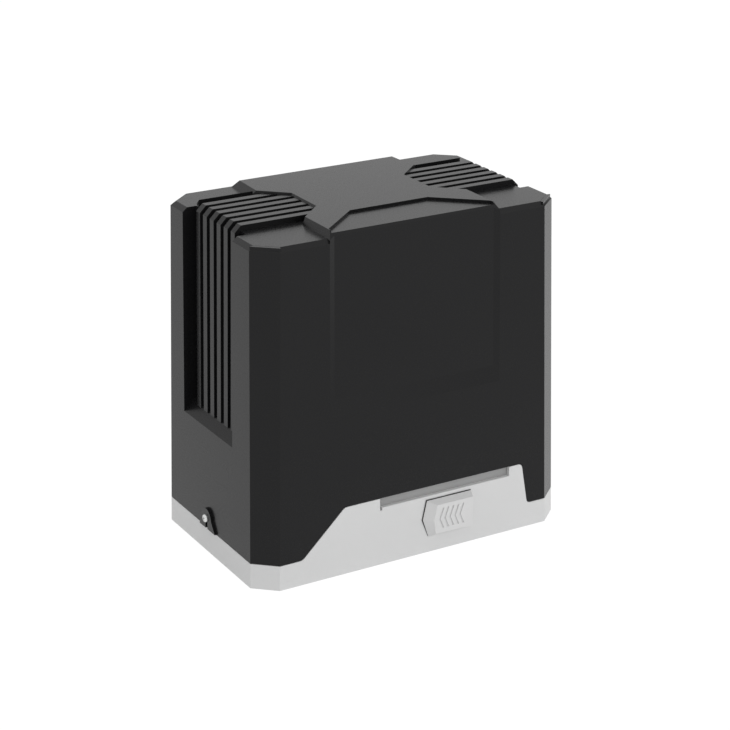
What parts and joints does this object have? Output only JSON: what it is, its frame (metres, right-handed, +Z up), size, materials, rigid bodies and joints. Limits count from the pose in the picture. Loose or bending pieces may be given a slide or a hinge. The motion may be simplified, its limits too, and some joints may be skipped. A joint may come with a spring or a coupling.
{
  "type": "sliding gate motor",
  "caption": "Sliding gate drive: ribbed lift-off cover on a cast base, key release behind a sliding lock cover, worm gearbox and rear pinion for a rack.",
  "frame": {"origin": "centre of the base's four anchor slots on the foundation plane", "axes": "+Z up away from the foundation; +X along the gate's travel; +Y to the rear, towards the gate and its rack; the lock side faces -Y"},
  "size_m": [0.2974, 0.238, 0.288],
  "materials": {
    "cover_plastic": "satin",
    "base_paint": "satin",
    "slider_plastic": "satin",
    "steel": "machined",
    "zinc": "zinc plated",
    "casting": "as cast",
    "bronze": "machined",
    "lamination": "varnished",
    "winding": "enamelled wire",
    "can": "semi gloss",
    "white_plastic": "moulded",
    "carrier_plastic": "moulded",
    "board": "solder mask",
    "terminal": "moulded",
    "black_plastic": "moulded",
    "rubber": "moulded",
    "glass": "clear"
  },
  "bodies": {
    "base": {"base_casting": "base_paint", "cover_screws": "zinc", "lock_housing": "zinc", "gearbox_housing": "casting", "gearbox_cover": "casting", "gearbox_screws": "zinc", "front_bearing": "steel", "rear_bearing": "steel", "shaft_seal": "rubber", "worm_bearing_low": "steel", "worm_bearing_high": "steel", "rotor_bearing": "steel", "stator_core": "lamination", "stator_windings": "winding", "motor_can": "can", "end_bell": "casting", "motor_screws": "zinc", "run_capacitor": "white_plastic", "capacitor_clip": "black_plastic", "transformer_core": "lamination", "transformer_winding": "winding", "electronics_bracket": "zinc", "board_carrier": "carrier_plastic", "control_board": "board", "terminal_blocks": "terminal", "relays": "black_plastic", "board_fuse": "glass", "board_capacitors": "black_plastic", "radio_module": "board", "board_display": "black_plastic", "board_buttons": "black_plastic", "limit_sensor": "black_plastic", "cable_grommet": "rubber"},
    "cover": {"top_cover": "cover_plastic"},
    "slider": {"key_slider": "slider_plastic"},
    "lock": {"lock_plug": "zinc", "lock_cam": "zinc"},
    "release": {"release_rod": "steel"},
    "output": {"output_shaft": "steel", "worm_wheel": "bronze", "pinion": "steel", "pinion_washer": "zinc", "pinion_nut": "zinc"},
    "clutch": {"clutch_sleeve": "steel"},
    "rotor": {"rotor_core": "lamination", "rotor_shaft": "steel", "worm": "steel"}
  },
  "joints": [
    {"name": "cover_lift", "type": "slide", "parent": "base", "child": "cover", "axis": [0, 0, 1], "range_m": [0, 0.25]},
    {"name": "key_slide", "type": "slide", "parent": "base", "child": "slider", "axis": [-1, 0, 0], "range_m": [0, 0.024]},
    {"name": "lock_turn", "type": "hinge", "parent": "base", "child": "lock", "pos_m": [0.04, -0.064, 0.029], "axis": [0, 1, 0], "range_deg": [0, 90]},
    {"name": "release_slide", "type": "slide", "parent": "base", "child": "release", "axis": [0, 1, 0], "range_m": [0, 0.008]},
    {"name": "output_spin", "type": "hinge", "parent": "base", "child": "output", "pos_m": [0, 0, 0.088], "axis": [0, 1, 0], "continuous": true},
    {"name": "clutch_slide", "type": "slide", "parent": "output", "child": "clutch", "axis": [0, 1, 0], "range_m": [0, 0.008]},
    {"name": "motor_spin", "type": "hinge", "parent": "base", "child": "rotor", "pos_m": [-0.058, -0.014, 0.088], "axis": [0, 0, 1], "continuous": true}
  ],
  "couplings": [
    {"joint": "lock_turn", "follows": "clutch_slide", "rad_per_m": 196.35},
    {"joint": "release_slide", "follows": "clutch_slide", "ratio": 1},
    {"joint": "motor_spin", "follows": "output_spin", "ratio": -36}
  ]
}
